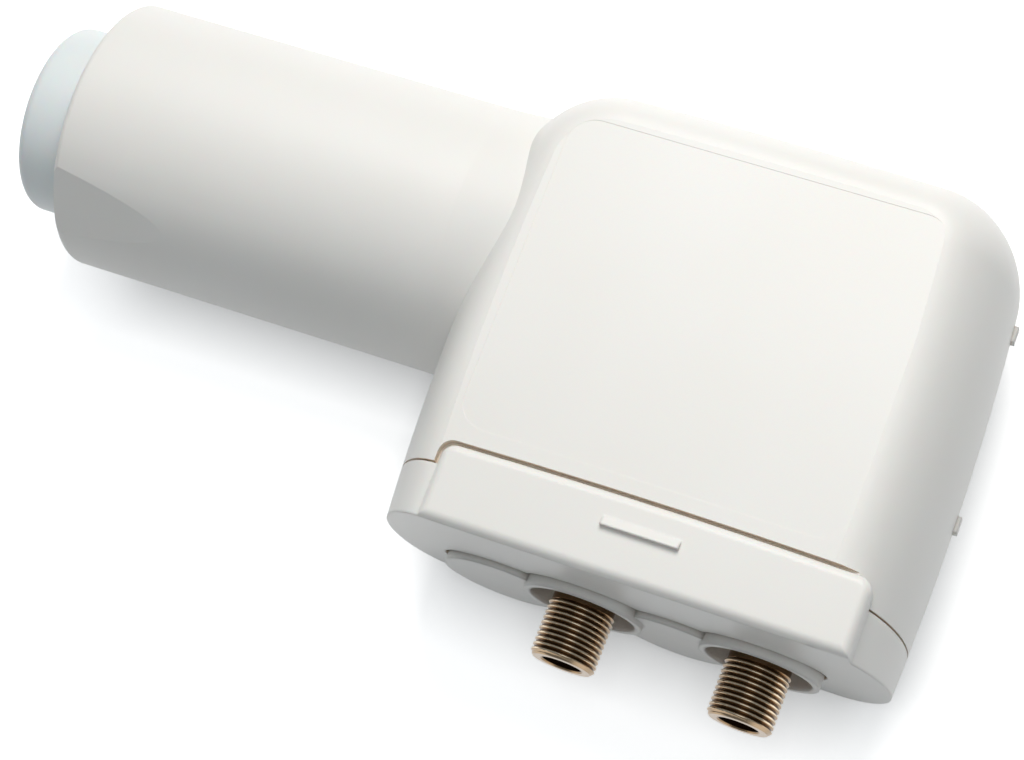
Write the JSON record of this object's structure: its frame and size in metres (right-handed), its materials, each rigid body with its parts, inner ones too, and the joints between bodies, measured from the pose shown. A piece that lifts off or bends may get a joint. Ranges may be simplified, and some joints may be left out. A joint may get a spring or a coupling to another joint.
{
  "type": "satellite lnb",
  "caption": "Satellite LNB with a round feed neck, a pillow-shaped white housing, threaded coaxial outputs in collars and a sliding weather shield",
  "frame": {"origin": "on the feed neck's axis, where its straight part ends in front of the housing", "axes": "+X along the neck from feed to housing, -Y the way the connectors point, +Z out of the broad face; it lies on its back"},
  "size_m": [0.1467, 0.0782, 0.0434],
  "materials": {
    "white_abs": "moulded, satin",
    "feed_cap_plastic": "thin moulded, slightly translucent",
    "nickel_plate": "nickel plated, warm reflections",
    "cast_alloy": "die-cast",
    "steel": "zinc plated",
    "seal_rubber": "moulded",
    "board": "solder mask",
    "chip": "moulded",
    "contact_metal": "plated",
    "dielectric": "turned"
  },
  "bodies": {
    "lnb": {"front_shell": "white_abs", "back_cover": "white_abs", "connector_plate": "white_abs", "feed_cap": "feed_cap_plastic", "cap_seal": "seal_rubber", "lid_gasket": "seal_rubber", "connector_seal_1": "seal_rubber", "connector_seal_2": "seal_rubber", "feed_horn": "cast_alloy", "chassis": "cast_alloy", "chassis_lid": "cast_alloy", "waveguide_divider": "cast_alloy", "horn_screws": "steel", "lid_screws": "steel", "circuit_board": "board", "board_chips": "chip", "vertical_probe": "contact_metal", "side_probe": "contact_metal", "vertical_probe_bead": "dielectric", "side_probe_bead": "dielectric", "connector_body_1": "nickel_plate", "connector_dielectric_1": "dielectric", "connector_contact_1": "contact_metal", "connector_body_2": "nickel_plate", "connector_dielectric_2": "dielectric", "connector_contact_2": "contact_metal"},
    "shield": {"weather_shield": "white_abs"}
  },
  "joints": [
    {"name": "shield_slide", "type": "slide", "parent": "lnb", "child": "shield", "axis": [0, -1, 0], "range_m": [0, 0.016]}
  ]
}
